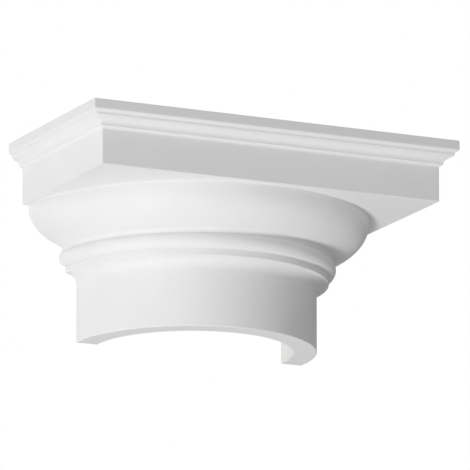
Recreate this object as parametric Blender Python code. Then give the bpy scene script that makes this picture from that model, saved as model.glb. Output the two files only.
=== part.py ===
"""Half column capital, moulded in one piece and primed white.

A square abacus with a crown moulding stands on a round echinus, a listel, a bead with its
fillet and a half-round neck. A half-round shaft space runs through it from bottom to top, and
the back is cut off flat where it meets the wall. Metres, +Z up, the front faces -Y and the wall
is at +Y.
"""

import math

import bpy
from mathutils import Vector
from mathutils.geometry import interpolate_bezier

# Abacus in plan: a square on the column's axis, cut by the wall a little behind that axis
ABACUS_WIDTH = 0.400
STILT = 0.006

# Crown moulding, from the top down. A short upright listel parts the ogee from the bevel above
# it and from the cove below it. How full the ogee is at each end is a share of its height.
BAND_HEIGHT = 0.0098
BEVEL_HEIGHT = 0.0026
BEVEL_RUN = 0.0036
BEVEL_LISTEL = 0.0008
OGEE_HEIGHT = 0.0090
OGEE_RUN = 0.0085
OGEE_TOP_FULLNESS = 0.42
OGEE_FOOT_FULLNESS = 0.60
OGEE_LISTEL = 0.0012
COVE_RADIUS = 0.0033
FASCIA_HEIGHT = 0.0343

# Echinus: its height is taken from the level where the bead's round would close, and a small
# fillet joins its shoulder to the soffit. How full the curve is at each end is a share of its
# own projection or height.
ECHINUS_HEIGHT = 0.0428
SOFFIT_MARGIN = 0.0068
SHOULDER_FILLET = 0.0015
SHOULDER_LIP = 0.0010
FOOT_SLOPE = math.radians(19)
FOOT_FULLNESS = 0.60
SHOULDER_FULLNESS = 0.48

# Listel under the echinus: it stands in from the bead's face, with a cove above it
LISTEL_HEIGHT = 0.0019
LISTEL_MARGIN = 0.0036
LISTEL_COVE = 0.0035

# Bead and fillet
BEAD_HEIGHT = 0.0157
BEAD_PROJECTION = 0.0072
FILLET_HEIGHT = 0.0072
FILLET_PROJECTION = 0.0122

# Neck, with its cavetto up to the fillet, and the shaft space inside
NECK_HEIGHT = 0.0694
NECK_RADIUS = 0.125
NECK_WALL = 0.023
CAVETTO_LIP = 0.0012

# How finely curves are cut
HALF_TURN_SEGMENTS = 64
QUARTER_SEGMENTS = 6
BEAD_SEGMENTS = 12
OGEE_SEGMENTS = 10
ECHINUS_SEGMENTS = 16
SHARP_ANGLE = math.radians(25)

# Places that follow from the sizes
CROWN_RUN = BEVEL_RUN + OGEE_RUN + COVE_RADIUS
FASCIA_HALF_WIDTH = ABACUS_WIDTH / 2 - CROWN_RUN
ECHINUS_RADIUS = FASCIA_HALF_WIDTH - SOFFIT_MARGIN
ABACUS_DEPTH = ABACUS_WIDTH / 2 + STILT
WALL_Y = ABACUS_DEPTH / 2
AXIS_Y = WALL_Y - STILT
FILLET_RADIUS = NECK_RADIUS + FILLET_PROJECTION
LISTEL_RADIUS = FILLET_RADIUS + BEAD_PROJECTION - LISTEL_MARGIN
SHAFT_RADIUS = NECK_RADIUS - NECK_WALL

FILLET_TOP = NECK_HEIGHT + FILLET_HEIGHT
BEAD_MIDDLE = FILLET_TOP + BEAD_HEIGHT / 2
BEAD_TURN = math.acos(1 - LISTEL_MARGIN / BEAD_PROJECTION)
LISTEL_FOOT = BEAD_MIDDLE + BEAD_HEIGHT / 2 * math.sin(BEAD_TURN)
SOFFIT = FILLET_TOP + BEAD_HEIGHT + ECHINUS_HEIGHT
FASCIA_TOP = SOFFIT + FASCIA_HEIGHT
OGEE_FOOT = FASCIA_TOP + COVE_RADIUS + OGEE_LISTEL
OGEE_TOP = OGEE_FOOT + OGEE_HEIGHT
BEVEL_FOOT = OGEE_TOP + BEVEL_LISTEL
BAND_FOOT = BEVEL_FOOT + BEVEL_HEIGHT
TOP = BAND_FOOT + BAND_HEIGHT

# Cutters pass the faces they cut by a wall's thickness, and the round part runs on as far past
# the wall plane and half-way up inside the fascia, so that every joint and cut is a clean one
OVERCUT = NECK_WALL
BACK_Y = WALL_Y + OVERCUT
LET_IN = FASCIA_HEIGHT / 2


def arc(centre, radii, start, end, segments):
    """Points of an upright ellipse arc, angles in degrees from outward towards up."""
    points = []
    for step in range(segments + 1):
        angle = math.radians(start + (end - start) * step / segments)
        points.append((centre[0] + radii[0] * math.cos(angle), centre[1] + radii[1] * math.sin(angle)))
    return points


def cubic(start, start_pull, end_pull, end, segments):
    """Points of a cubic curve between two ends with a pull at each."""
    knots = [Vector((*point, 0)) for point in (start, start_pull, end_pull, end)]
    return [(point.x, point.y) for point in interpolate_bezier(*knots, segments + 1)]


def neck_profile():
    """Radius and height up the neck, its cavetto, the fillet and the bead to the listel."""
    cavetto = FILLET_PROJECTION - CAVETTO_LIP
    centre = (NECK_RADIUS + cavetto, NECK_HEIGHT - cavetto)
    bead = (BEAD_PROJECTION, BEAD_HEIGHT / 2)
    return [
        (NECK_RADIUS, 0.0),
        *arc(centre, (cavetto, cavetto), 180, 90, QUARTER_SEGMENTS),
        (FILLET_RADIUS, NECK_HEIGHT),
        *arc((FILLET_RADIUS, BEAD_MIDDLE), bead, -90, math.degrees(BEAD_TURN), BEAD_SEGMENTS),
    ]


def echinus_profile():
    """Radius and height up the listel's cove and the echinus, then on into the abacus."""
    cove_middle = (LISTEL_RADIUS + LISTEL_COVE, LISTEL_FOOT + LISTEL_HEIGHT)
    cove_end = 90 + math.degrees(FOOT_SLOPE)
    cove = arc(cove_middle, (LISTEL_COVE, LISTEL_COVE), 180, cove_end, QUARTER_SEGMENTS)
    foot = cove[-1]
    shoulder = (ECHINUS_RADIUS, SOFFIT - SHOULDER_FILLET - SHOULDER_LIP)
    pull = FOOT_FULLNESS * (shoulder[0] - foot[0])
    foot_pull = (foot[0] + pull * math.cos(FOOT_SLOPE), foot[1] + pull * math.sin(FOOT_SLOPE))
    shoulder_pull = (shoulder[0], shoulder[1] - SHOULDER_FULLNESS * (shoulder[1] - foot[1]))
    fillet_middle = (ECHINUS_RADIUS + SHOULDER_FILLET, SOFFIT - SHOULDER_FILLET)
    return [
        *cove[:-1],
        *cubic(foot, foot_pull, shoulder_pull, shoulder, ECHINUS_SEGMENTS),
        *arc(fillet_middle, (SHOULDER_FILLET, SHOULDER_FILLET), 180, 90, QUARTER_SEGMENTS),
        (fillet_middle[0], SOFFIT + LET_IN),
    ]


def crown_profile():
    """Half width and height up the fascia and the crown moulding to the top."""
    half = ABACUS_WIDTH / 2
    cove_middle = (FASCIA_HALF_WIDTH + COVE_RADIUS, FASCIA_TOP)
    ogee_foot = (cove_middle[0], OGEE_FOOT)
    ogee_top = (half - BEVEL_RUN, OGEE_TOP)
    foot_pull = (ogee_foot[0], OGEE_FOOT + OGEE_FOOT_FULLNESS * OGEE_HEIGHT)
    top_pull = (ogee_top[0], OGEE_TOP - OGEE_TOP_FULLNESS * OGEE_HEIGHT)
    return [
        (FASCIA_HALF_WIDTH, SOFFIT),
        *arc(cove_middle, (COVE_RADIUS, COVE_RADIUS), 180, 90, QUARTER_SEGMENTS),
        *cubic(ogee_foot, foot_pull, top_pull, ogee_top, OGEE_SEGMENTS),
        (ogee_top[0], BEVEL_FOOT),
        (half, BAND_FOOT),
        (half, TOP),
    ]


def square_plan(half):
    """Corners of the abacus at one level: left side, front and right side."""
    front = AXIS_Y - half
    return [(-half, BACK_Y), (-half, front), (half, front), (half, BACK_Y)]


def round_plan(radius):
    """Half circle about the column's axis, run on straight past the wall plane."""
    points = [(-radius, BACK_Y)]
    for step in range(HALF_TURN_SEGMENTS + 1):
        angle = math.pi * step / HALF_TURN_SEGMENTS
        points.append((-radius * math.cos(angle), AXIS_Y - radius * math.sin(angle)))
    return points + [(radius, BACK_Y)]


def stacked_solid(name, profile, plan):
    """Closed object whose outline at each height of the profile is the plan at that size."""
    levels = [[(x, y, height) for x, y in plan(size)] for size, height in profile]
    across = len(levels[0])
    vertices = [vertex for level in levels for vertex in level]
    faces = []
    for row in range(len(levels) - 1):
        for column in range(across - 1):
            low = row * across + column
            faces.append((low, low + 1, low + across + 1, low + across))
    top_row = (len(levels) - 1) * across
    left_edge = [row * across for row in range(len(levels))]
    right_edge = [row * across + across - 1 for row in range(len(levels))]
    faces.append(tuple(reversed(range(across))))
    faces.append(tuple(range(top_row, top_row + across)))
    faces.append(tuple(left_edge + right_edge[::-1]))
    mesh = bpy.data.meshes.new(name)
    mesh.from_pydata(vertices, [], faces)
    mesh.shade_smooth()
    mesh.set_sharp_from_angle(angle=SHARP_ANGLE)
    piece = bpy.data.objects.new(name, mesh)
    bpy.context.collection.objects.link(piece)
    return piece


def as_tool(piece):
    """Marks an object as one that only shapes another."""
    piece.hide_render = True
    piece.display_type = "WIRE"
    return piece


def wall_cutter():
    """Block behind the wall plane, wider and taller than the capital."""
    depth = 2 * OVERCUT
    bpy.ops.mesh.primitive_cube_add(size=1, location=(0, WALL_Y + depth / 2, TOP / 2))
    block = bpy.context.object
    block.name = "wall_cutter"
    block.scale = (ABACUS_WIDTH + 2 * OVERCUT, depth, TOP + 2 * OVERCUT)
    return as_tool(block)


def shaft_cutter():
    """Half-round space for the shaft, from below the neck to above the abacus."""
    profile = [(SHAFT_RADIUS, -OVERCUT), (SHAFT_RADIUS, TOP + OVERCUT)]
    return as_tool(stacked_solid("shaft_cutter", profile, round_plan))


def boolean(piece, tool, operation):
    """Adds one Boolean modifier."""
    modifier = piece.modifiers.new(f"{operation.lower()}_{tool.name}", "BOOLEAN")
    modifier.operation = operation
    modifier.solver = "EXACT"
    modifier.object = tool


def primed_white():
    """Satin white primer over rigid foam."""
    material = bpy.data.materials.new("primed_white")
    material.use_nodes = True
    shader = material.node_tree.nodes["Principled BSDF"]
    shader.inputs["Base Color"].default_value = (0.88, 0.88, 0.88, 1.0)
    shader.inputs["Roughness"].default_value = 0.55
    shader.inputs["Metallic"].default_value = 0.0
    return material


def build_capital():
    """The abacus joined to the round part, then opened for the shaft and cut at the wall."""
    capital = stacked_solid("half_column_capital", crown_profile(), square_plan)
    round_part = as_tool(stacked_solid("round_part", neck_profile() + echinus_profile(), round_plan))
    boolean(capital, round_part, "UNION")
    boolean(capital, shaft_cutter(), "DIFFERENCE")
    boolean(capital, wall_cutter(), "DIFFERENCE")
    capital.data.materials.append(primed_white())
    return capital


for old in list(bpy.data.objects):
    bpy.data.objects.remove(old, do_unlink=True)
build_capital()
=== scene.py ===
"""Half column capital in its primed finish, shown in a plain studio from below its left front.

The capital is one closed skin. Its upright section is a loop of softened stretches, and the loop
is carried round a half plan: the round mouldings keep to circles on the column's axis, and the
abacus keeps to a square with eased mitres. Metres, +Z up, the front faces -Y, the wall is at +Y.
"""

from __future__ import annotations

import logging
import math
from dataclasses import dataclass, field, replace
from enum import Enum
from typing import Any, Sequence

import bpy
import numpy as np
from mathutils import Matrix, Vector
from mathutils.geometry import interpolate_bezier


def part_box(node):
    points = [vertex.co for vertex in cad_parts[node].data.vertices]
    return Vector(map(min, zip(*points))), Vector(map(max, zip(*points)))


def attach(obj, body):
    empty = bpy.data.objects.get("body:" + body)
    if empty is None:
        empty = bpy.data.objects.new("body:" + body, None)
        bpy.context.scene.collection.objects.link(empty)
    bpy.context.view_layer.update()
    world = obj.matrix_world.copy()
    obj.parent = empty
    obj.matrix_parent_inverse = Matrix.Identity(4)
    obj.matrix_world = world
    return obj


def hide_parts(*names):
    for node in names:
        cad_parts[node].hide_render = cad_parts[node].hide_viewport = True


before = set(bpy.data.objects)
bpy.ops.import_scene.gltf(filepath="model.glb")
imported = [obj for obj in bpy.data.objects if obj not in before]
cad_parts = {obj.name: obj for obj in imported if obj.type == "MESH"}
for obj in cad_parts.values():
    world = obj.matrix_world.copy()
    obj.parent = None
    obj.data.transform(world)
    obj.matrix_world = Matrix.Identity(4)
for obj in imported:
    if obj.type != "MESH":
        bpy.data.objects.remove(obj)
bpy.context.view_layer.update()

CAPITAL_NODE = "half_column_capital"
BODY = "root"

PRINCIPLED = "Principled BSDF"
WORLD_END = "World Output"

Point = tuple[float, float]
Colour = tuple[float, float, float]

log = logging.getLogger("capital")


class Plan(Enum):
    """Which way a point of the section goes round the plan."""

    ROUND = "round"
    SQUARE = "square"


class Skin(Enum):
    """How a surface was left, in the order of the capital's materials."""

    MOULDED = 0
    SANDED = 1
    BORE = 2


class Corner(Enum):
    """How the corner at the start of a stretch is softened."""

    SMOOTH = "smooth"
    QUIRK = "quirk"
    CRISP = "crisp"
    EASED = "eased"


class Bend(Enum):
    """Which way the section bends at one of its points."""

    NONE = "none"
    INNER = "inner"
    OUTER = "outer"


def arc(centre: Point, radii: Point, start: float, end: float, steps: int) -> list[Point]:
    """Points of an ellipse arc in the section.

    Args:
        centre: size and height of the middle
        radii: reach outward and upward
        start: first angle in degrees, from outward towards up
        end: last angle
        steps: how many chords

    Returns:
        The points in order, ends included.
    """
    angles = [math.radians(start + (end - start) * step / steps) for step in range(steps + 1)]
    return [(centre[0] + radii[0] * math.cos(a), centre[1] + radii[1] * math.sin(a)) for a in angles]


def cubic(start: Point, start_pull: Point, end_pull: Point, end: Point, steps: int) -> list[Point]:
    """Points of a cubic curve in the section, ends included."""
    knots = [Vector((*point, 0.0)) for point in (start, start_pull, end_pull, end)]
    return [(point.x, point.y) for point in interpolate_bezier(*knots, steps + 1)]


def outward(azimuth: float, elevation: float) -> Vector:
    """Direction away from the capital, by its turn to the right of the front and its rise in degrees."""
    turn, rise = math.radians(azimuth), math.radians(elevation)
    return Vector((math.sin(turn) * math.cos(rise), -math.cos(turn) * math.cos(rise), math.sin(rise)))


@dataclass(frozen=True)
class Stretch:
    """One smooth part of the section, walked with the material on the right.

    Attributes:
        points: outward size and height of each point
        plan: the plan that they follow
        corner: how the corner at its start is softened
        skin: how its surface was left
    """

    points: Sequence[Point]
    plan: Plan
    corner: Corner = Corner.SMOOTH
    skin: Skin = Skin.MOULDED


@dataclass(frozen=True)
class Knot:
    """One point of the section.

    Attributes:
        place: outward size and height
        stretch: the stretch that it belongs to
        bend: which way the section bends there
    """

    place: np.ndarray
    stretch: Stretch
    bend: Bend = Bend.NONE


@dataclass
class Softening:
    """How far corners are cut back, and how straight stretches are divided beside them.

    Attributes:
        reach: cut back along both sides for each kind of corner
        corner_steps: chords of a softened corner
        guards: distances from a straight stretch's ends at which it gets a point
        guard_share: how far in they may lie, as a share of the stretch
        least_gap: least distance between two points
        quirk_fade: how far the mark of an inner corner fades along the surface
        arris_fade: how far the mark of an outer corner fades
    """

    reach: dict[Corner, float] = field(
        default_factory=lambda: {Corner.QUIRK: 0.0004, Corner.CRISP: 0.0006, Corner.EASED: 0.0009}
    )
    corner_steps: int = 6
    guards: tuple[float, ...] = (0.0004, 0.0012, 0.0030)
    guard_share: float = 0.4
    least_gap: float = 0.00003
    quirk_fade: float = 0.0010
    arris_fade: float = 0.0005

    def trimmed(self, points: Sequence[Point], start_cut: float, end_cut: float) -> np.ndarray:
        """A path without a length at each end, with guard points if it is straight.

        Args:
            points: the path
            start_cut: length taken off its start
            end_cut: length taken off its end

        Returns:
            The points that are left, as rows.
        """
        path = np.array(points, float)
        along = np.concatenate([[0.0], np.cumsum(np.linalg.norm(np.diff(path, axis=0), axis=1))])
        low, high = start_cut, along[-1] - end_cut
        places = along[(along > low + self.least_gap) & (along < high - self.least_gap)]
        if len(path) == 2:
            limit = self.guard_share * (high - low)
            guards = np.array([guard for guard in self.guards if guard < limit])
            places = np.concatenate([low + guards, high - guards[::-1]])
        places = np.concatenate([[low], places, [high]])
        return np.stack([np.interp(places, along, path[:, axis]) for axis in (0, 1)], axis=1)

    def rounded(self, before: np.ndarray, corner: np.ndarray, after: np.ndarray) -> np.ndarray:
        """Inner points of a softened corner, from one trimmed end to the next start."""
        shares = np.linspace(0.0, 1.0, self.corner_steps + 1)[1:-1, None]
        return (1 - shares) ** 2 * before + 2 * shares * (1 - shares) * corner + shares**2 * after


@dataclass
class Section:
    """Closed upright section of the capital.

    Attributes:
        points: outward size and height of each point, as rows
        square: True where a point follows the square plan
        skins: the skin from each point to the next
        quirk: 1 at an inner corner, fading along the surface
        arris: 1 at an outer corner, fading along the surface
    """

    points: np.ndarray
    square: np.ndarray
    skins: list[Skin]
    quirk: np.ndarray
    arris: np.ndarray

    @classmethod
    def softened(cls, stretches: Sequence[Stretch], softening: Softening) -> Section:
        """Joins stretches end to end and softens their corners.

        Args:
            stretches: the loop, each starting where the last one ends or level with it
            softening: how its corners are softened

        Returns:
            The section.
        """
        knots = cls._knots(stretches, softening)
        points = np.array([knot.place for knot in knots])
        return cls(
            points,
            np.array([knot.stretch.plan is Plan.SQUARE for knot in knots]),
            [knot.stretch.skin for knot in knots],
            cls._faded(points, np.array([knot.bend is Bend.INNER for knot in knots]), softening.quirk_fade),
            cls._faded(points, np.array([knot.bend is Bend.OUTER for knot in knots]), softening.arris_fade),
        )

    @classmethod
    def _knots(cls, stretches: Sequence[Stretch], softening: Softening) -> list[Knot]:
        """The points of a loop of stretches.

        Args:
            stretches: the loop
            softening: how its corners are softened

        Returns:
            The points in order, from the softened corner at the start of the first stretch.
        """
        reaches = [softening.reach.get(stretch.corner, 0.0) for stretch in stretches]
        trimmed = [
            softening.trimmed(stretch.points, reach, following)
            for stretch, reach, following in zip(stretches, reaches, reaches[1:] + reaches[:1])
        ]
        knots: list[Knot] = []
        for index, stretch in enumerate(stretches):
            before, added = trimmed[index - 1][-1], trimmed[index]
            if reaches[index]:
                corner = np.array(stretch.points[0])
                bend = cls._bend(before, corner, added[0])
                knots += [Knot(place, stretch, bend) for place in softening.rounded(before, corner, added[0])]
            elif knots and np.allclose(before, added[0]):
                added = added[1:]
            knots += [Knot(place, stretch) for place in added]
        return knots

    @staticmethod
    def _bend(before: np.ndarray, corner: np.ndarray, after: np.ndarray) -> Bend:
        """Which way the section, walked clockwise, bends at a corner."""
        into, out = corner - before, after - corner
        return Bend.INNER if into[0] * out[1] - into[1] * out[0] > 0 else Bend.OUTER

    @staticmethod
    def _faded(points: np.ndarray, marked: np.ndarray, fade: float) -> np.ndarray:
        """1 at the marked points, fading with distance from the nearest of them."""
        gaps = np.linalg.norm(points[:, None, :] - points[None, marked, :], axis=2)
        return np.exp(-gaps.min(axis=1) / fade)

    def inset(self, distance: float) -> np.ndarray:
        """The section moved into the material.

        Args:
            distance: how far each point moves

        Returns:
            The moved points, as rows.
        """
        ahead = np.roll(self.points, -1, axis=0) - self.points
        behind = self.points - np.roll(self.points, 1, axis=0)
        ahead /= np.linalg.norm(ahead, axis=1)[:, None]
        behind /= np.linalg.norm(behind, axis=1)[:, None]
        run = ahead + behind
        run /= np.linalg.norm(run, axis=1)[:, None]
        return self.points + distance * np.stack([run[:, 1], -run[:, 0]], axis=1)


@dataclass(frozen=True)
class Column:
    """Where one upright line of the skin stands in the plan.

    Attributes:
        turn: in the round plan, in degrees from the front towards the right
        across: in the square plan, from -1 at its left side to 1 at its right
        out: in the square plan, from -1 at its front to 0 level with the column's axis
        bend_across: across a mitre's round, 0 at its front end and 1 or -1 at its side end
        bend_out: along a mitre's round, -1 at its front end and 0 at its side end
        mitre: 1 on a mitre's round, or else 0
    """

    turn: float
    across: float
    out: float
    bend_across: float
    bend_out: float
    mitre: float = 0.0

    def mirrored(self) -> Column:
        """The column that stands opposite, on the left."""
        return replace(self, turn=-self.turn, across=-self.across, bend_across=-self.bend_across)


@dataclass(frozen=True)
class Ring:
    """The section at one place of the plan.

    Attributes:
        points: its vertices, as rows of x, y and z
        mitre: 1 on a mitre's round, or else 0
    """

    points: np.ndarray
    mitre: float = 0.0


@dataclass
class HalfPlan:
    """Way round the half plan, from the wall on the left, past the front, to the wall on the right.

    Attributes:
        axis_y: where the column's axis stands
        wall_y: the wall plane, a little behind the axis
        mitre: radius of the abacus's eased mitres in plan
        mitre_turn: half the angle of the round plan that faces a mitre, in degrees
        mitre_guard: angle from a mitre to the column beside it, in degrees
        mitre_steps: chords of a mitre
        side_steps: chords from the axis plane to a mitre
        front_steps: chords from mitre to mitre
        back_arris: how far the arrises at the wall are rounded
        back_steps: chords of such an arris
        back_guard: width of the rim round the wall faces
    """

    axis_y: float
    wall_y: float
    mitre: float = 0.0007
    mitre_turn: float = 0.6
    mitre_guard: float = 0.15
    mitre_steps: int = 6
    side_steps: int = 40
    front_steps: int = 80
    back_arris: float = 0.0003
    back_steps: int = 3
    back_guard: float = 0.00008

    def columns(self) -> list[Column]:
        """The columns from left to right.

        Returns:
            The right half from the front's middle on, with its mirror image before it.
        """
        mitre_start = 45.0 - self.mitre_turn
        mitre_end = 90.0 - mitre_start
        widest = math.tan(math.radians(mitre_start))
        front = np.linspace(0.0, mitre_start, self.front_steps // 2 + 1)
        front = np.concatenate([front[:-1], [mitre_start - self.mitre_guard, mitre_start]])
        corner = np.linspace(mitre_start, mitre_end, self.mitre_steps + 1)[1:-1]
        side = np.linspace(mitre_end, 90.0, self.side_steps + 1)
        side = np.concatenate([[mitre_end, mitre_end + self.mitre_guard], side[1:]])
        right = [Column(turn, math.tan(math.radians(turn)) / widest, -1.0, 0.0, -1.0) for turn in front]
        for index, turn in enumerate(corner, start=1):
            bend = math.pi / 2 * index / self.mitre_steps
            right.append(Column(turn, 1.0, -1.0, math.sin(bend), -math.cos(bend), mitre=1.0))
        for turn in side:
            right.append(Column(turn, 1.0, -math.tan(math.radians(90.0 - turn)) / widest, 1.0, 0.0))
        return [column.mirrored() for column in right[:0:-1]] + right

    def carried(self, square: np.ndarray, points: np.ndarray, column: Column, behind: float) -> np.ndarray:
        """Points of the section carried to a column.

        Args:
            square: True for each point that follows the square plan
            points: their outward sizes and heights
            column: where they go
            behind: how far behind the axis plane they stand

        Returns:
            Their vertices, as rows of x, y and z.
        """
        size, height = points[:, 0], points[:, 1]
        flat = size - self.mitre
        turn = math.radians(column.turn)
        across = np.where(
            square, flat * column.across + self.mitre * column.bend_across, size * math.sin(turn)
        )
        out = np.where(square, flat * column.out + self.mitre * column.bend_out, -size * math.cos(turn))
        return np.stack([across, self.axis_y + behind + out, height], axis=1)

    def rings(self, section: Section) -> list[Ring]:
        """The skin's rings, with the rounded arrises at the wall at both ends.

        Args:
            section: what is carried round

        Returns:
            The rings from left to right.
        """
        stilt = self.wall_y - self.axis_y
        ends: list[Point] = []
        for step in range(self.back_steps + 1):
            angle = math.pi / 2 * step / self.back_steps
            inset = self.back_arris * (1 - math.cos(angle))
            ends.append((inset, stilt - self.back_arris * (1 - math.sin(angle))))
        ends.append((self.back_arris + self.back_guard, stilt))
        columns = self.columns()
        square = section.square
        left, right = (
            [Ring(self.carried(square, section.inset(inset), column, behind)) for inset, behind in ends]
            for column in (columns[0], columns[-1])
        )
        middle = [
            Ring(self.carried(square, section.points, column, behind=0.0), column.mitre) for column in columns
        ]
        return left[::-1] + middle + right


@dataclass
class Abacus:
    """Square top of the capital: a fascia under a crown moulding.

    Attributes:
        width: across the band
        top: height of the top face
        band_height: the plain band at the top
        bevel_height: the slanted face under the band
        bevel_run: how far the bevel projects
        bevel_listel: the upright face between the bevel and the ogee
        ogee_height: the ogee under that listel
        ogee_run: how far the ogee projects
        ogee_top_fullness: how far its top runs straight, as a share of its height
        ogee_foot_fullness: how far its foot runs straight
        ogee_listel: the upright face between the ogee and the cove
        cove_radius: the cove on the fascia
        fascia_height: the plain face at the bottom
        rim: width of the strips beside the edges of the top and the soffit
        ogee_steps: chords of the ogee
        cove_steps: chords of the cove
    """

    width: float
    top: float
    band_height: float = 0.0098
    bevel_height: float = 0.0026
    bevel_run: float = 0.0036
    bevel_listel: float = 0.0008
    ogee_height: float = 0.0090
    ogee_run: float = 0.0085
    ogee_top_fullness: float = 0.42
    ogee_foot_fullness: float = 0.60
    ogee_listel: float = 0.0012
    cove_radius: float = 0.0033
    fascia_height: float = 0.0343
    rim: float = 0.0016
    ogee_steps: int = 20
    cove_steps: int = 12

    @property
    def fascia_half(self) -> float:
        """Half the width across the fascia."""
        return self.width / 2 - self.bevel_run - self.ogee_run - self.cove_radius

    @property
    def soffit(self) -> float:
        """Height of the underside."""
        bevel = self.bevel_height + self.bevel_listel
        ogee = self.ogee_height + self.ogee_listel
        return self.top - self.band_height - bevel - ogee - self.cove_radius - self.fascia_height

    def stretches(self) -> list[Stretch]:
        """The abacus's part of the section.

        Returns:
            The top face's rim, the crown moulding, the fascia and the soffit's rim, downwards.
        """
        half, fascia = self.width / 2, self.fascia_half
        band_foot = (half, self.top - self.band_height)
        bevel_foot = (half - self.bevel_run, band_foot[1] - self.bevel_height)
        ogee_top = (bevel_foot[0], bevel_foot[1] - self.bevel_listel)
        ogee_foot = (ogee_top[0] - self.ogee_run, ogee_top[1] - self.ogee_height)
        top_pull = (ogee_top[0], ogee_top[1] - self.ogee_top_fullness * self.ogee_height)
        foot_pull = (ogee_foot[0], ogee_foot[1] + self.ogee_foot_fullness * self.ogee_height)
        ogee = cubic(ogee_top, top_pull, foot_pull, ogee_foot, self.ogee_steps)
        cove_top = (ogee_foot[0], ogee_foot[1] - self.ogee_listel)
        cove_middle = (cove_top[0], cove_top[1] - self.cove_radius)
        cove = arc(cove_middle, (self.cove_radius, self.cove_radius), 90, 180, self.cove_steps)
        return [
            Stretch([(half - self.rim, self.top), (half, self.top)], Plan.SQUARE, skin=Skin.SANDED),
            Stretch([(half, self.top), band_foot], Plan.SQUARE, Corner.CRISP),
            Stretch([band_foot, bevel_foot], Plan.SQUARE, Corner.EASED),
            Stretch([bevel_foot, *ogee, cove_top], Plan.SQUARE, Corner.QUIRK),
            Stretch(cove, Plan.SQUARE, Corner.CRISP),
            Stretch([cove[-1], (fascia, self.soffit)], Plan.SQUARE),
            Stretch([(fascia, self.soffit), (fascia - self.rim, self.soffit)], Plan.SQUARE, Corner.EASED),
        ]


@dataclass
class Echinus:
    """Round cushion between the abacus and the bead.

    Attributes:
        soffit: height of the abacus's underside
        foot: radius and height of the lower end of the listel that it stands on
        radius: radius at its shoulder
        listel_height: straight face of the listel
        cove: radius of the cove from the listel to the underside
        fillet: radius of the small fillet between the shoulder and the soffit
        shoulder_lip: straight part below the fillet
        foot_slope: how steeply the curve leaves the foot, in degrees
        foot_fullness: pull of the curve at the foot, as a share of its projection
        shoulder_fullness: pull at the shoulder, as a share of its height
        rim: width of the strip of soffit round it
        fillet_steps: chords of the fillet
        curve_steps: chords of the curve
        cove_steps: chords of the cove
    """

    soffit: float
    foot: Point
    radius: float
    listel_height: float = 0.0019
    cove: float = 0.0035
    fillet: float = 0.0015
    shoulder_lip: float = 0.0010
    foot_slope: float = 19.0
    foot_fullness: float = 0.60
    shoulder_fullness: float = 0.48
    rim: float = 0.0008
    fillet_steps: int = 8
    curve_steps: int = 44
    cove_steps: int = 10

    def stretches(self) -> list[Stretch]:
        """The echinus's part of the section.

        Returns:
            The soffit's inner rim, the fillet with the lip, the curve, and the cove with the listel.
        """
        joint = (self.radius + self.fillet, self.soffit - self.fillet)
        fillet = arc(joint, (self.fillet, self.fillet), 90, 180, self.fillet_steps)
        shoulder = (self.radius, joint[1] - self.shoulder_lip)
        cove_middle = (self.foot[0] + self.cove, self.foot[1] + self.listel_height)
        cove = arc(cove_middle, (self.cove, self.cove), 90 + self.foot_slope, 180, self.cove_steps)
        slope = math.radians(self.foot_slope)
        pull = self.foot_fullness * (shoulder[0] - cove[0][0])
        foot_pull = (cove[0][0] + pull * math.cos(slope), cove[0][1] + pull * math.sin(slope))
        shoulder_pull = (shoulder[0], shoulder[1] - self.shoulder_fullness * (shoulder[1] - cove[0][1]))
        return [
            Stretch([(joint[0] + self.rim, self.soffit), (joint[0], self.soffit)], Plan.ROUND),
            Stretch([*fillet, shoulder], Plan.ROUND),
            Stretch(cubic(shoulder, shoulder_pull, foot_pull, cove[0], self.curve_steps), Plan.ROUND),
            Stretch([*cove, self.foot], Plan.ROUND),
        ]


@dataclass
class Necking:
    """Bead, fillet and the neck with its cavetto.

    Attributes:
        radius: of the neck
        height: of the fillet's underside above the neck's
        cavetto_lip: flat part of the fillet's underside
        fillet_height: face of the fillet
        fillet_projection: out from the neck
        bead_height: the bead on the fillet, if its round ran on to a half turn
        bead_projection: out from the fillet
        groove_depth: how far the listel above the bead stands in from the bead's face
        bead_steps: chords of the bead
        cavetto_steps: chords of the cavetto
    """

    radius: float = 0.125
    height: float = 0.0694
    cavetto_lip: float = 0.0012
    fillet_height: float = 0.0072
    fillet_projection: float = 0.0122
    bead_height: float = 0.0157
    bead_projection: float = 0.0072
    groove_depth: float = 0.0036
    bead_steps: int = 28
    cavetto_steps: int = 18

    @property
    def bead_middle(self) -> Point:
        """Radius and height of the middle of the bead's round, on the fillet's face."""
        return (self.radius + self.fillet_projection, self.height + self.fillet_height + self.bead_height / 2)

    @property
    def bead_turn(self) -> float:
        """How far up the bead's round goes to the listel, in radians."""
        return math.acos(1 - self.groove_depth / self.bead_projection)

    @property
    def groove(self) -> Point:
        """Radius and height of the quirk between the bead and the listel."""
        across, up = self.bead_middle
        out = self.bead_projection * math.cos(self.bead_turn)
        return (across + out, up + self.bead_height / 2 * math.sin(self.bead_turn))

    def stretches(self) -> list[Stretch]:
        """The necking's part of the section.

        Returns:
            The bead, the fillet, the cavetto and the neck, down to its underside.
        """
        reach = self.bead_middle[0]
        fillet_top = self.height + self.fillet_height
        radii = (self.bead_projection, self.bead_height / 2)
        bead = arc(self.bead_middle, radii, math.degrees(self.bead_turn), -90, self.bead_steps)
        hollow = self.fillet_projection - self.cavetto_lip
        cavetto_middle = (self.radius + hollow, self.height - hollow)
        cavetto = arc(cavetto_middle, (hollow, hollow), 90, 180, self.cavetto_steps)
        return [
            Stretch(bead, Plan.ROUND, Corner.QUIRK),
            Stretch([(reach, fillet_top), (reach, self.height)], Plan.ROUND, Corner.QUIRK),
            Stretch([(reach, self.height), *cavetto], Plan.ROUND, Corner.CRISP),
            Stretch([cavetto[-1], (self.radius, 0.0)], Plan.ROUND),
        ]


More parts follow.
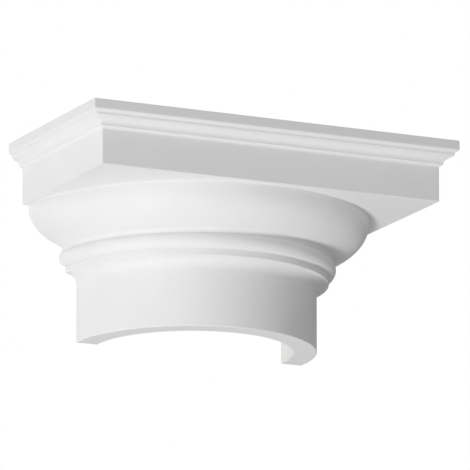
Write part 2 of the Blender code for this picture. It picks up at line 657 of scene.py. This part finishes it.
@dataclass
class ShaftSpace:
    """Half-round space for the shaft, open at the wall, at the top and below.

    Attributes:
        radius: of the space
        neck_radius: outer radius of the neck that it leaves standing
        top: height of the capital
        rim: width of the strip of the top face round it
    """

    radius: float
    neck_radius: float
    top: float
    rim: float = 0.004

    def underside(self) -> Stretch:
        """The neck's underside, inwards."""
        return Stretch([(self.neck_radius, 0.0), (self.radius, 0.0)], Plan.ROUND, Corner.EASED)

    def wall(self) -> Stretch:
        """The space's own face, upwards."""
        return Stretch([(self.radius, 0.0), (self.radius, self.top)], Plan.ROUND, Corner.CRISP, Skin.BORE)

    def top_rim(self) -> Stretch:
        """The top face's inner rim, outwards."""
        ends = [(self.radius, self.top), (self.radius + self.rim, self.top)]
        return Stretch(ends, Plan.ROUND, Corner.CRISP, Skin.SANDED)


@dataclass(frozen=True)
class Flow:
    """A value on its way through the nodes. Arithmetic on it adds Math nodes.

    Attributes:
        web: the nodes that it runs through
        socket: the output that it comes from
    """

    web: Web
    socket: bpy.types.NodeSocket

    def _math(self, operation: str, first: Term, second: Term) -> Flow:
        """One Math node."""
        return self.web.node("ShaderNodeMath", {"operation": operation}, {0: first, 1: second})

    def __add__(self, other: Term) -> Flow:
        """The sum of two values."""
        return self._math("ADD", self, other)

    def __radd__(self, other: float) -> Flow:
        """The sum of a number and this value."""
        return self._math("ADD", other, self)

    def __sub__(self, other: Term) -> Flow:
        """This value less another."""
        return self._math("SUBTRACT", self, other)

    def __rsub__(self, other: float) -> Flow:
        """A number less this value."""
        return self._math("SUBTRACT", other, self)

    def __mul__(self, other: Term) -> Flow:
        """The product of two values."""
        return self._math("MULTIPLY", self, other)

    def __rmul__(self, other: float) -> Flow:
        """The product of a number and this value."""
        return self._math("MULTIPLY", other, self)

    def rising(self, low: float, high: float) -> Flow:
        """This value as a smooth step.

        Args:
            low: where the step starts
            high: where it ends

        Returns:
            0 below low, 1 above high, and a smooth rise between them.
        """
        return self.web.node(
            "ShaderNodeMapRange",
            {"interpolation_type": "SMOOTHSTEP"},
            {"Value": self, "From Min": low, "From Max": high},
        )


Term = Flow | float


@dataclass(frozen=True)
class Patches:
    """Soft patches: noise spread to its full range.

    Attributes:
        scale: features to the metre
        detail: how many finer layers they have
        low: level of the noise that becomes 0
        high: level that becomes 1
    """

    scale: float
    detail: float
    low: float
    high: float


class Web:
    """The nodes of a material or a world, and the node that they end in."""

    def __init__(self, owner: bpy.types.Material | bpy.types.World, end: str) -> None:
        """Starts from the nodes that a new material or world comes with.

        Args:
            owner: the material or world
            end: name of the node in which the others end
        """
        owner.use_nodes = True
        self.owner = owner
        self.tree = owner.node_tree
        self.end = self.tree.nodes[end]

    def node(
        self,
        kind: str,
        settings: dict[str, Any] | None = None,
        inputs: dict[str | int, Any] | None = None,
        output: str | int = 0,
    ) -> Flow:
        """Adds a node.

        Args:
            kind: its type
            settings: its own settings, set first
            inputs: values or flows for its sockets
            output: the socket that is read

        Returns:
            That output.
        """
        made = self.tree.nodes.new(kind)
        for key, value in (settings or {}).items():
            setattr(made, key, value)
        for key, value in (inputs or {}).items():
            self._feed(made.inputs[key], value)
        return Flow(self, made.outputs[output])

    def finish(self, inputs: dict[str, Any]) -> None:
        """Feeds the node in which the others end, by the names of its sockets."""
        for key, value in inputs.items():
            self._feed(self.end.inputs[key], value)

    def _feed(self, socket: bpy.types.NodeSocket, value: Any) -> None:
        """Links a flow to a socket, or sets the socket's own value.

        Args:
            socket: the input
            value: a flow, a number, or a row of numbers
        """
        if isinstance(value, Flow):
            self.tree.links.new(value.socket, socket)
        else:
            socket.default_value = value

    def place(self) -> Flow:
        """The object's own coordinates, in metres."""
        return self.node("ShaderNodeTexCoord", output="Object")

    def stretched(self, place: Flow, scale: Sequence[float], turn: float = 0.0) -> Flow:
        """Coordinates turned about Z by an angle in degrees, then scaled along each axis."""
        rotation = (0.0, 0.0, math.radians(turn))
        return self.node("ShaderNodeMapping", inputs={"Vector": place, "Rotation": rotation, "Scale": scale})

    def noise(self, place: Flow, scale: float, detail: float = 2.0) -> Flow:
        """Noise from about 0.3 to 0.7, with that many features to the metre."""
        return self.node("ShaderNodeTexNoise", inputs={"Vector": place, "Scale": scale, "Detail": detail})

    def patches(self, place: Flow, patches: Patches) -> Flow:
        """Soft patches from 0 to 1."""
        return self.noise(place, patches.scale, patches.detail).rising(patches.low, patches.high)

    def cells(self, place: Flow, scale: float, output: str) -> Flow:
        """A measure of cells, with that many to the metre."""
        return self.node("ShaderNodeTexVoronoi", inputs={"Vector": place, "Scale": scale}, output=output)

    def marked(self, name: str) -> Flow:
        """A number that the mesh carries at its points."""
        return self.node("ShaderNodeAttribute", {"attribute_name": name}, output="Fac")

    def mixed(self, factor: Term, first: Flow | Colour, second: Flow | Colour) -> Flow:
        """A colour between two others.

        Args:
            factor: 0 for the first and 1 for the second
            first: a colour, or a flow of colour
            second: another

        Returns:
            The mixed colour.
        """
        return self.node(
            "ShaderNodeMix",
            {"data_type": "RGBA"},
            {"Factor": factor, 6: self._colour(first), 7: self._colour(second)},
            output=2,
        )

    @staticmethod
    def _colour(value: Flow | Colour) -> Flow | tuple[float, ...]:
        """A colour with its alpha, or a flow as it is."""
        return value if isinstance(value, Flow) else (*value, 1.0)

    def bump(self, height: Flow, distance: float) -> Flow:
        """A normal from a height, whose unit is that distance in metres."""
        return self.node("ShaderNodeBump", inputs={"Height": height, "Distance": distance}, output="Normal")


@dataclass(frozen=True)
class PrimedSkin:
    """Satin white primer on the moulded faces.

    Attributes:
        name: of the material
        white: where the primer is thickest
        thin: where it is thinnest
        pooled_and_shaded: in the quirks, where the primer gathers, made darker there as painted shade
        pooled_and_shaded_share: how fully the quirks take that colour of pooled primer and painted shade
        roughness: of an open face
        sheen_spread: how much the roughness varies
        pooled_gloss: how much smoother the primer is in the quirks
        arris_wear: how much rougher it is on the arrises
        level: strength of the plain reflection
        cloud: patches of the tone
        cloud_share: how much of the tone they make, beside the grain
        peel: features of the orange peel to the metre
        grain: features of the finest grain to the metre
        grain_depth: height of the grain, for 1 of the orange peel
        swell: features of the face's slow unevenness to the metre
        swell_detail: how many finer layers it has
        swell_depth: its height, for 1 of the orange peel
        relief: depth of the orange peel in metres
    """

    name: str = "primed_white"
    white: Colour = (0.880, 0.880, 0.878)
    thin: Colour = (0.862, 0.862, 0.858)
    pooled_and_shaded: Colour = (0.845, 0.844, 0.838)
    pooled_and_shaded_share: float = 0.8
    roughness: float = 0.66
    sheen_spread: float = 0.16
    pooled_gloss: float = 0.10
    arris_wear: float = 0.06
    level: float = 0.25
    cloud: Patches = Patches(24.0, 4.0, 0.34, 0.66)
    cloud_share: float = 0.7
    peel: float = 420.0
    grain: float = 1900.0
    grain_depth: float = 0.3
    swell: float = 55.0
    swell_detail: float = 1.0
    swell_depth: float = 6.0
    relief: float = 0.00002

    def make(self) -> bpy.types.Material:
        """Builds the material.

        Returns:
            The material.
        """
        web = Web(bpy.data.materials.new(self.name), PRINCIPLED)
        place = web.place()
        cloud = web.patches(place, self.cloud)
        peel = web.noise(place, self.peel)
        grain = web.noise(place, self.grain)
        swell = web.noise(place, self.swell, self.swell_detail)
        quirk = web.marked("quirk")
        tone = cloud * self.cloud_share + grain * (1.0 - self.cloud_share)
        rough = self.roughness + self.sheen_spread * ((cloud + peel) * 0.5 - 0.5)
        height = peel + grain * self.grain_depth + swell * self.swell_depth
        web.finish(
            {
                # The quirks are mixed towards a darker colour, partly primer pooled there and partly painted
                # shade in the creases.
                "Base Color": web.mixed(
                    quirk * self.pooled_and_shaded_share, web.mixed(tone, self.white, self.thin), self.pooled_and_shaded
                ),
                "Roughness": rough - self.pooled_gloss * quirk + self.arris_wear * web.marked("arris"),
                "Normal": web.bump(height, self.relief),
                "Specular IOR Level": self.level,
            }
        )
        return web.owner


@dataclass(frozen=True)
class SandedSkin:
    """Primer rubbed flat on the faces that meet the wall and the ceiling.

    Attributes:
        name: of the material
        white: between the scratches
        rubbed: where the paper has thinned the primer
        pit: in a pinhole of the foam
        roughness: of the face
        scratch_spread: how much the roughness varies with the scratches
        pit_roughness: how much rougher a pinhole is
        level: strength of the plain reflection
        cloud: patches of the tone
        cloud_share: how much of the tone they make, beside the scratches
        streak: features along and across the scratches to the metre
        streak_step: levels of the noise between which a scratch shows in the tone
        turn: angle between the two passes of the paper, in degrees
        cells: cells of the foam's large bubbles to the metre
        pit_size: radius of a pinhole as a share of a cell
        pit_floor: share of that radius over which it is fully dark
        share: share of the cells that hold no pinhole
        share_step: how far the choice between cells is softened
        relief: depth of the scratches in metres
        pit_depth: depth of a pinhole, for 1 of the scratches
    """

    name: str = "sanded_primer"
    white: Colour = (0.868, 0.867, 0.862)
    rubbed: Colour = (0.838, 0.836, 0.826)
    pit: Colour = (0.66, 0.645, 0.61)
    roughness: float = 0.68
    scratch_spread: float = 0.14
    pit_roughness: float = 0.1
    level: float = 0.32
    cloud: Patches = Patches(30.0, 3.0, 0.34, 0.66)
    cloud_share: float = 0.6
    streak: tuple[float, float] = (26.0, 900.0)
    streak_step: tuple[float, float] = (0.4, 0.6)
    turn: float = 24.0
    cells: float = 150.0
    pit_size: float = 0.10
    pit_floor: float = 0.6
    share: float = 0.45
    share_step: float = 0.02
    relief: float = 0.00003
    pit_depth: float = 6.0

    def make(self) -> bpy.types.Material:
        """Builds the material.

        Returns:
            The material.
        """
        web = Web(bpy.data.materials.new(self.name), PRINCIPLED)
        place = web.place()
        along, across = self.streak
        first, second = (
            web.noise(web.stretched(place, (along, across, across), turn), 1.0) for turn in (0.0, self.turn)
        )
        scratch = first * 0.5 + second * 0.5
        pit = self._pits(web, place)
        scratched = scratch.rising(*self.streak_step)
        tone = web.patches(place, self.cloud) * self.cloud_share + scratched * (1.0 - self.cloud_share)
        rough = self.roughness + self.scratch_spread * (scratch - 0.5)
        web.finish(
            {
                "Base Color": web.mixed(pit, web.mixed(tone, self.white, self.rubbed), self.pit),
                "Roughness": rough + self.pit_roughness * pit,
                "Normal": web.bump(scratch - pit * self.pit_depth, self.relief),
                "Specular IOR Level": self.level,
            }
        )
        return web.owner

    def _pits(self, web: Web, place: Flow) -> Flow:
        """The pinholes, one in the middle of some of the cells.

        Args:
            web: the material's nodes
            place: the coordinates

        Returns:
            1 in a pinhole and 0 outside.
        """
        hole = web.cells(place, self.cells, "Distance").rising(self.pit_size * self.pit_floor, self.pit_size)
        lot = web.node("ShaderNodeSeparateColor", inputs={"Color": web.cells(place, self.cells, "Color")})
        return (1.0 - hole) * lot.rising(self.share, self.share + self.share_step)


@dataclass(frozen=True)
class BoreSkin:
    """Inside of the shaft space, as it came off the core of the mould, lightly misted with primer.

    Attributes:
        name: of the material
        white: where the mist lies
        foam: where the foam's own skin shows through
        roughness: of the face
        mist_spread: how much the roughness varies with the mist
        speck_spread: how much it varies with the specks
        level: strength of the plain reflection
        mist: patches of the mist
        mist_share: how much of the tone they make
        draw: features across and along the core's draw marks to the metre
        draw_step: levels of the noise between which a draw mark shows in the tone
        draw_share: how much of the tone the draw marks make
        speck: features of the finest specks to the metre
        speck_share: how much of the tone they make
        speck_depth: their height, for 1 of the draw marks
        relief: depth of the draw marks in metres
    """

    name: str = "misted_bore"
    white: Colour = (0.870, 0.869, 0.864)
    foam: Colour = (0.842, 0.838, 0.822)
    roughness: float = 0.60
    mist_spread: float = 0.12
    speck_spread: float = 0.08
    level: float = 0.35
    mist: Patches = Patches(38.0, 4.0, 0.36, 0.64)
    mist_share: float = 0.6
    draw: tuple[float, float] = (420.0, 9.0)
    draw_step: tuple[float, float] = (0.4, 0.6)
    draw_share: float = 0.25
    speck: float = 1400.0
    speck_share: float = 0.15
    speck_depth: float = 0.3
    relief: float = 0.00004

    def make(self) -> bpy.types.Material:
        """Builds the material.

        Returns:
            The material.
        """
        web = Web(bpy.data.materials.new(self.name), PRINCIPLED)
        place = web.place()
        across, along = self.draw
        draw = web.noise(web.stretched(place, (across, across, along)), 1.0)
        mist = web.patches(place, self.mist)
        speck = web.noise(place, self.speck)
        drawn = draw.rising(*self.draw_step)
        tone = mist * self.mist_share + drawn * self.draw_share + speck * self.speck_share
        rough = self.roughness + self.mist_spread * (mist - 0.5)
        web.finish(
            {
                "Base Color": web.mixed(tone, self.white, self.foam),
                "Roughness": rough + self.speck_spread * (speck - 0.5),
                "Normal": web.bump(draw + speck * self.speck_depth, self.relief),
                "Specular IOR Level": self.level,
            }
        )
        return web.owner


@dataclass
class Capital:
    """The whole capital, one moulded piece.

    Attributes:
        low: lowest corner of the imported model
        high: its highest corner
        neck_wall: thickness of the neck
        soffit_margin: how far the echinus stands in from the fascia
        crease: least angle at which two faces meet in a hard edge, in degrees
        name: of the piece
    """

    low: Vector
    high: Vector
    neck_wall: float = 0.023
    soffit_margin: float = 0.0068
    crease: float = 50.0
    name: str = "capital_moulding"

    def section(self) -> Section:
        """The closed section.

        Returns:
            The section, clockwise from the inner edge of the top face.
        """
        necking = Necking()
        abacus = Abacus(width=self.high.x - self.low.x, top=self.high.z)
        echinus = Echinus(abacus.soffit, necking.groove, abacus.fascia_half - self.soffit_margin)
        space = ShaftSpace(necking.radius - self.neck_wall, necking.radius, self.high.z)
        outside = [*abacus.stretches(), *echinus.stretches(), *necking.stretches()]
        return Section.softened([space.top_rim(), *outside, space.underside(), space.wall()], Softening())

    def plan(self) -> HalfPlan:
        """The half plan, with its axis half the abacus's width behind the front."""
        return HalfPlan(axis_y=self.low.y + (self.high.x - self.low.x) / 2, wall_y=self.high.y)

    def build(self) -> bpy.types.Object:
        """Carries the section round the plan and closes both ends at the wall.

        Returns:
            The piece, smooth but for the rims of its wall faces.
        """
        section = self.section()
        rings = self.plan().rings(section)
        faces, skins = self._faces(section, len(rings))
        arris = [np.maximum(section.arris, ring.mitre * section.square) for ring in rings]
        mesh = bpy.data.meshes.new(self.name)
        mesh.from_pydata(np.concatenate([ring.points for ring in rings]), [], faces)
        mesh.polygons.foreach_set("material_index", skins)
        # The quirk mark also drives the painted shade in the primer's colour and its gloss in the quirks.
        self._mark(mesh, "quirk", np.tile(section.quirk, len(rings)))
        self._mark(mesh, "arris", np.concatenate(arris))
        mesh.shade_smooth()
        mesh.set_sharp_from_angle(angle=math.radians(self.crease))
        piece = bpy.data.objects.new(self.name, mesh)
        bpy.context.scene.collection.objects.link(piece)
        return piece

    @staticmethod
    def _faces(section: Section, rings: int) -> tuple[list[tuple[int, ...]], list[int]]:
        """The faces between the rings, then the two at the wall.

        Args:
            section: what the rings carry
            rings: how many there are

        Returns:
            The vertices of each face, and the number of its skin.
        """
        around = len(section.points)
        last = (rings - 1) * around
        faces: list[tuple[int, ...]] = []
        for start in range(0, last, around):
            for index in range(around):
                here, following = start + index, start + (index + 1) % around
                faces.append((here, following, following + around, here + around))
        faces += [tuple(reversed(range(around))), tuple(range(last, last + around))]
        skins = [skin.value for skin in section.skins] * (rings - 1)
        return faces, skins + [Skin.SANDED.value] * 2

    @staticmethod
    def _mark(mesh: bpy.types.Mesh, name: str, values: np.ndarray) -> None:
        """Stores a number at every point of a mesh."""
        mesh.attributes.new(name, "FLOAT", "POINT").data.foreach_set("value", values.astype(np.float32))

    def dress(self, piece: bpy.types.Object) -> None:
        """Gives the piece its finishes, in the order of Skin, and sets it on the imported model.

        Args:
            piece: the capital
        """
        for finish in (PrimedSkin(), SandedSkin(), BoreSkin()):
            piece.data.materials.append(finish.make())
        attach(piece, BODY)
        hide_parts(CAPITAL_NODE)


@dataclass
class Viewpoint:
    """The camera, low in front of the capital and to its left.

    Attributes:
        azimuth: from the front towards the right, in degrees
        elevation: above the horizon, in degrees
        distance: from the aim
        aim: the point in the middle of the picture
        lens: focal length in millimetres on a sensor 36 wide
        clip_end: how far it sees
    """

    azimuth: float = -25.66
    elevation: float = -13.31
    distance: float = 7.665
    aim: tuple[float, float, float] = (0.0018, 0.0015, 0.1014)
    lens: float = 590.3
    clip_end: float = 100.0

    def build(self) -> bpy.types.Object:
        """Makes the camera and points it.

        Returns:
            The camera, which is now the scene's.
        """
        back = outward(self.azimuth, self.elevation)
        camera = bpy.data.objects.new("camera", bpy.data.cameras.new("camera"))
        camera.data.lens = self.lens
        camera.data.clip_end = self.clip_end
        camera.location = Vector(self.aim) + back * self.distance
        camera.rotation_euler = (-back).to_track_quat("-Z", "Y").to_euler()
        bpy.context.scene.collection.objects.link(camera)
        bpy.context.scene.camera = camera
        return camera


@dataclass(frozen=True)
class Softbox:
    """A square soft light that faces what it lights.

    Attributes:
        name: of the light
        azimuth: where it stands, from the front towards the right, in degrees
        elevation: above the horizon, in degrees
        power: in watts
        width: of its face
        distance: from what it lights
    """

    name: str
    azimuth: float
    elevation: float
    power: float
    width: float = 1.6
    distance: float = 3.0

    def build(self, aim: Vector) -> bpy.types.Object:
        """Makes the light.

        Args:
            aim: the point that it faces

        Returns:
            The light, unseen by the camera.
        """
        out = outward(self.azimuth, self.elevation)
        data = bpy.data.lights.new(self.name, "AREA")
        data.energy = self.power
        data.size = self.width
        lamp = bpy.data.objects.new(self.name, data)
        lamp.location = aim + out * self.distance
        lamp.rotation_euler = (-out).to_track_quat("-Z", "Y").to_euler()
        lamp.visible_camera = False
        bpy.context.scene.collection.objects.link(lamp)
        return lamp


@dataclass
class Studio:
    """Plain pale floor far below, soft lights and a white surround.

    Attributes:
        floor_depth: how far the floor lies below the capital's underside
        floor_width: of the floor
        floor_white: its paler colour
        floor_grey: its darker colour
        floor_drift: patches of the two
        floor_roughness: of its surface
        floor_power: of the lamp that lights the floor alone, in watts
        lamp_height: of that lamp above the floor
        ambient: strength of the surround as a light
        seen: its strength to the camera
        lights: the soft lights
    """

    floor_depth: float = 9.0
    floor_width: float = 5.0
    floor_white: Colour = (0.90, 0.90, 0.895)
    floor_grey: Colour = (0.885, 0.885, 0.88)
    floor_drift: Patches = Patches(0.8, 2.0, 0.3, 0.7)
    floor_roughness: float = 0.8
    floor_power: float = 150.0
    lamp_height: float = 3.0
    ambient: float = 0.164
    seen: float = 1.0
    lights: tuple[Softbox, ...] = (
        Softbox("key_light", -60.0, -40.0, 52.4, width=0.7),
        Softbox("left_light", -90.0, 20.0, 12.6),
        Softbox("front_left_light", -30.0, 20.0, 10.2),
        Softbox("front_light", 0.0, -5.0, 10.2),
        Softbox("right_light", 60.0, -35.0, 6.9),
        Softbox("back_left_light", -150.0, 20.0, 28.8),
        Softbox("low_back_light", -150.0, -65.0, 8.8),
        Softbox("top_light", 120.0, 60.0, 60.0),
    )

    def floor(self) -> bpy.types.Object:
        """Makes the floor.

        Returns:
            A flat pale square.
        """
        half = self.floor_width / 2
        plan = ((-half, -half), (half, -half), (half, half), (-half, half))
        mesh = bpy.data.meshes.new("floor")
        mesh.from_pydata([(x, y, -self.floor_depth) for x, y in plan], [], [(0, 1, 2, 3)])
        web = Web(bpy.data.materials.new("pale_floor"), PRINCIPLED)
        drift = web.patches(web.place(), self.floor_drift)
        tone = web.mixed(drift, self.floor_white, self.floor_grey)
        web.finish({"Base Color": tone, "Roughness": self.floor_roughness})
        mesh.materials.append(web.owner)
        floor = bpy.data.objects.new("floor", mesh)
        bpy.context.scene.collection.objects.link(floor)
        return floor

    def floor_lamp(self, aim: Vector) -> bpy.types.Object:
        """Makes the lamp that hangs between the capital and the floor and shines straight down.

        Args:
            aim: the middle of the capital, which it hangs under

        Returns:
            The lamp.
        """
        under = Vector((aim.x, aim.y, self.lamp_height - self.floor_depth))
        box = Softbox("floor_light", 0.0, 90.0, self.floor_power, width=self.floor_width / 2, distance=0.0)
        lamp = box.build(under)
        lamp.rotation_euler = (0.0, 0.0, 0.0)
        return lamp

    def surround(self) -> None:
        """White to the camera, and a weaker even light on everything."""
        web = Web(bpy.data.worlds.new("surround"), WORLD_END)
        web.tree.nodes.remove(web.tree.nodes["Background"])
        light, sight = (
            web.node("ShaderNodeBackground", inputs={"Color": (1.0, 1.0, 1.0, 1.0), "Strength": strength})
            for strength in (self.ambient, self.seen)
        )
        to_camera = web.node("ShaderNodeLightPath", output="Is Camera Ray")
        mix = web.node("ShaderNodeMixShader", inputs={0: to_camera, 1: light, 2: sight})
        web.finish({"Surface": mix})
        bpy.context.scene.world = web.owner

    def build(self, aim: Vector) -> None:
        """Makes the floor, its lamp, the surround and the soft lights.

        Args:
            aim: the middle of the capital
        """
        self.floor()
        self.surround()
        self.floor_lamp(aim)
        for light in self.lights:
            light.build(aim)
        bpy.context.scene.view_settings.view_transform = "Standard"


def main() -> None:
    """Builds the camera, the capital and the studio."""
    logging.basicConfig(level=logging.INFO, format="%(message)s")
    Viewpoint().build()
    capital = Capital(*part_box(CAPITAL_NODE))
    piece = capital.build()
    capital.dress(piece)
    log.info("%s: %d faces", piece.name, len(piece.data.polygons))
    Studio().build((capital.low + capital.high) / 2)
    log.info("studio: floor and lights")


if __name__ == "__main__":
    main()
